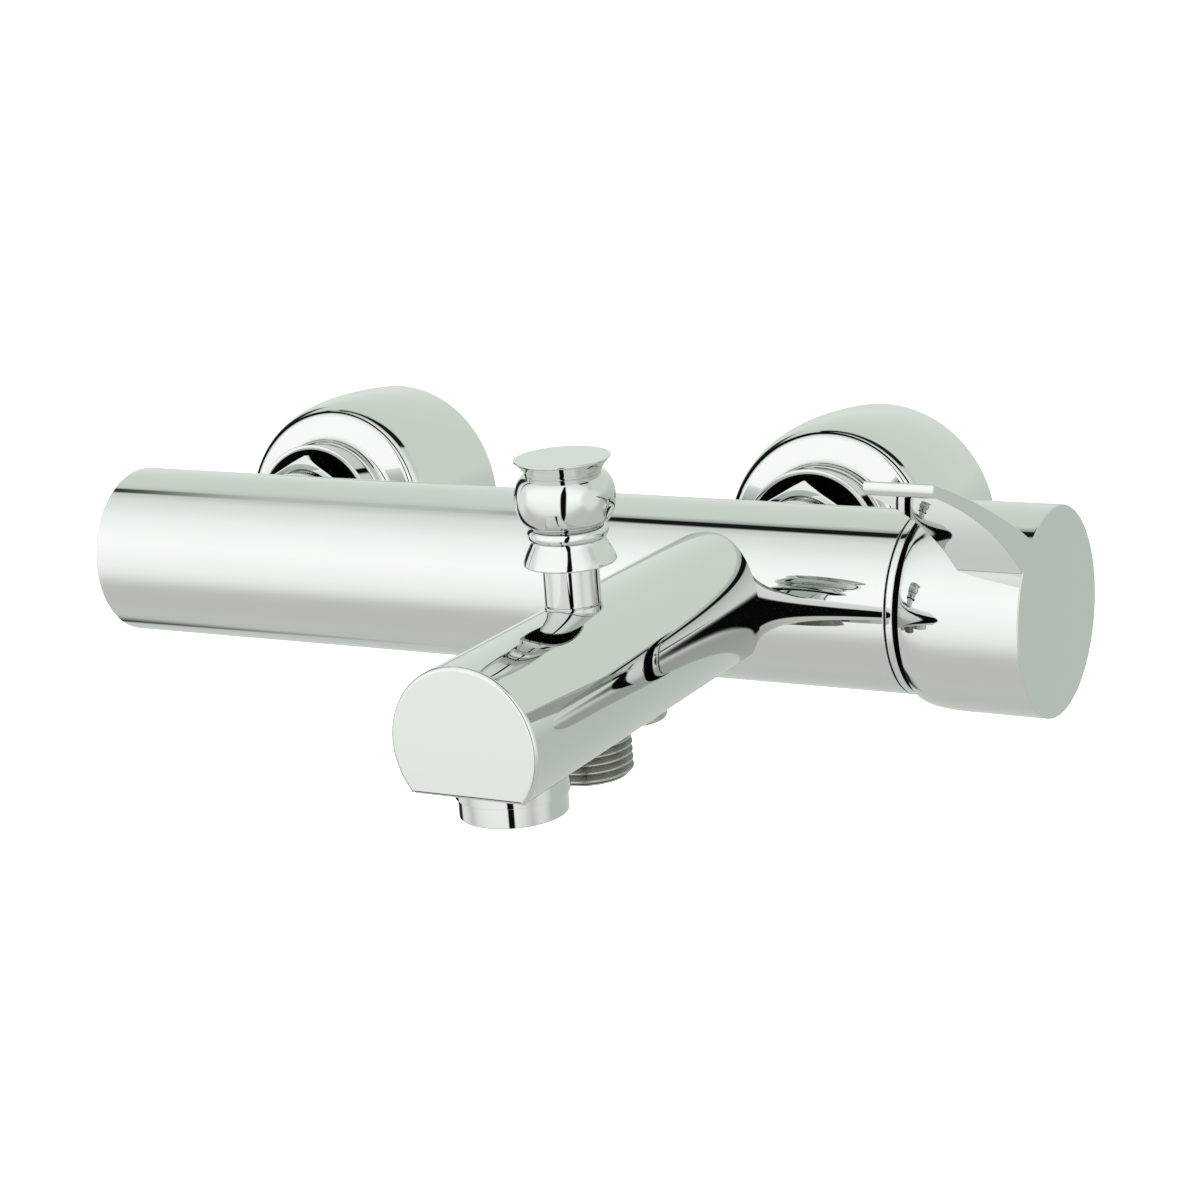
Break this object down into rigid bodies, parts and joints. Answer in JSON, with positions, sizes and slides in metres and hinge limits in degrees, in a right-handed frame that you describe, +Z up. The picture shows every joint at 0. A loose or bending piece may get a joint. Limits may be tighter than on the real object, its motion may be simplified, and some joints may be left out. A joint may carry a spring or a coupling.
{
  "type": "wall mounted bath faucet",
  "caption": "Wall mounted single lever bath faucet: round tube on two bell rosettes, tilted spout with a pull-up diverter knob, shower outlet and aerator below, side lever.",
  "frame": {"origin": "on the finished wall, midway between the two inlets, at the height of their centres", "axes": "+X along the mixer towards its handle, +Y into the wall, +Z up"},
  "size_m": [0.2638, 0.2327, 0.0772],
  "materials": {
    "chrome": "polished chrome plate on brass",
    "brass": "machined brass",
    "nickel": "dull nickel plate on brass",
    "steel": "bright steel",
    "rubber": "black rubber",
    "plastic": "satin moulded plastic",
    "ceramic": "lapped ceramic"
  },
  "bodies": {
    "fixed": {"mixer_body": "chrome", "left_end_plug": "chrome", "left_plug_oring": "rubber", "cartridge_seal": "rubber", "cartridge_base": "plastic", "fixed_disc": "ceramic", "cartridge_housing": "plastic", "retaining_nut": "brass", "cover_ring": "chrome", "diverter_gland": "chrome", "gland_oring": "rubber", "diverter_seat": "brass", "shower_nipple": "nickel", "spout_plug": "nickel", "shower_check_valve": "plastic", "aerator_housing": "chrome", "aerator_insert": "plastic", "aerator_seal": "rubber", "rosette_left": "chrome", "shroud_ring_left": "chrome", "union_nut_left": "chrome", "union_washer_left": "rubber", "inlet_strainer_left": "steel", "s_union_left": "brass", "rosette_right": "chrome", "shroud_ring_right": "chrome", "union_nut_right": "chrome", "union_washer_right": "rubber", "inlet_strainer_right": "steel", "s_union_right": "brass"},
    "turning": {"turning_collar": "plastic", "spindle_pin": "steel"},
    "lifting": {"spindle": "brass", "handle": "chrome", "handle_grub_screw": "steel", "handle_index_plug": "plastic"},
    "sliding_disc": {"moving_disc": "ceramic", "disc_carrier": "plastic"},
    "diverter_lifting": {"diverter_valve": "brass", "diverter_valve_seal": "rubber"},
    "diverter_turning": {"diverter_knob": "chrome", "diverter_rod": "brass"}
  },
  "joints": [
    {"name": "handle_turn", "type": "hinge", "parent": "fixed", "child": "turning", "pos_m": [0.119, -0.0845, -0.007], "axis": [1, 0, 0], "range_deg": [-45, 45]},
    {"name": "handle_lift", "type": "hinge", "parent": "turning", "child": "lifting", "pos_m": [0.1188, -0.0845, -0.007], "axis": [0, 0.4695, 0.8829], "range_deg": [0, 25]},
    {"name": "disc_slide", "type": "slide", "parent": "turning", "child": "sliding_disc", "axis": [0, -0.8829, 0.4695], "range_m": [0, 0.00535]},
    {"name": "diverter_lift", "type": "slide", "parent": "fixed", "child": "diverter_lifting", "axis": [0, -0.1564, 0.9877], "range_m": [0, 0.008]},
    {"name": "diverter_spin", "type": "hinge", "parent": "diverter_lifting", "child": "diverter_turning", "pos_m": [0.075, -0.16642, 0.01546], "axis": [0, -0.1564, 0.9877], "continuous": true}
  ],
  "couplings": [
    {"joint": "disc_slide", "follows": "handle_lift", "m_per_rad": 0.0122}
  ]
}
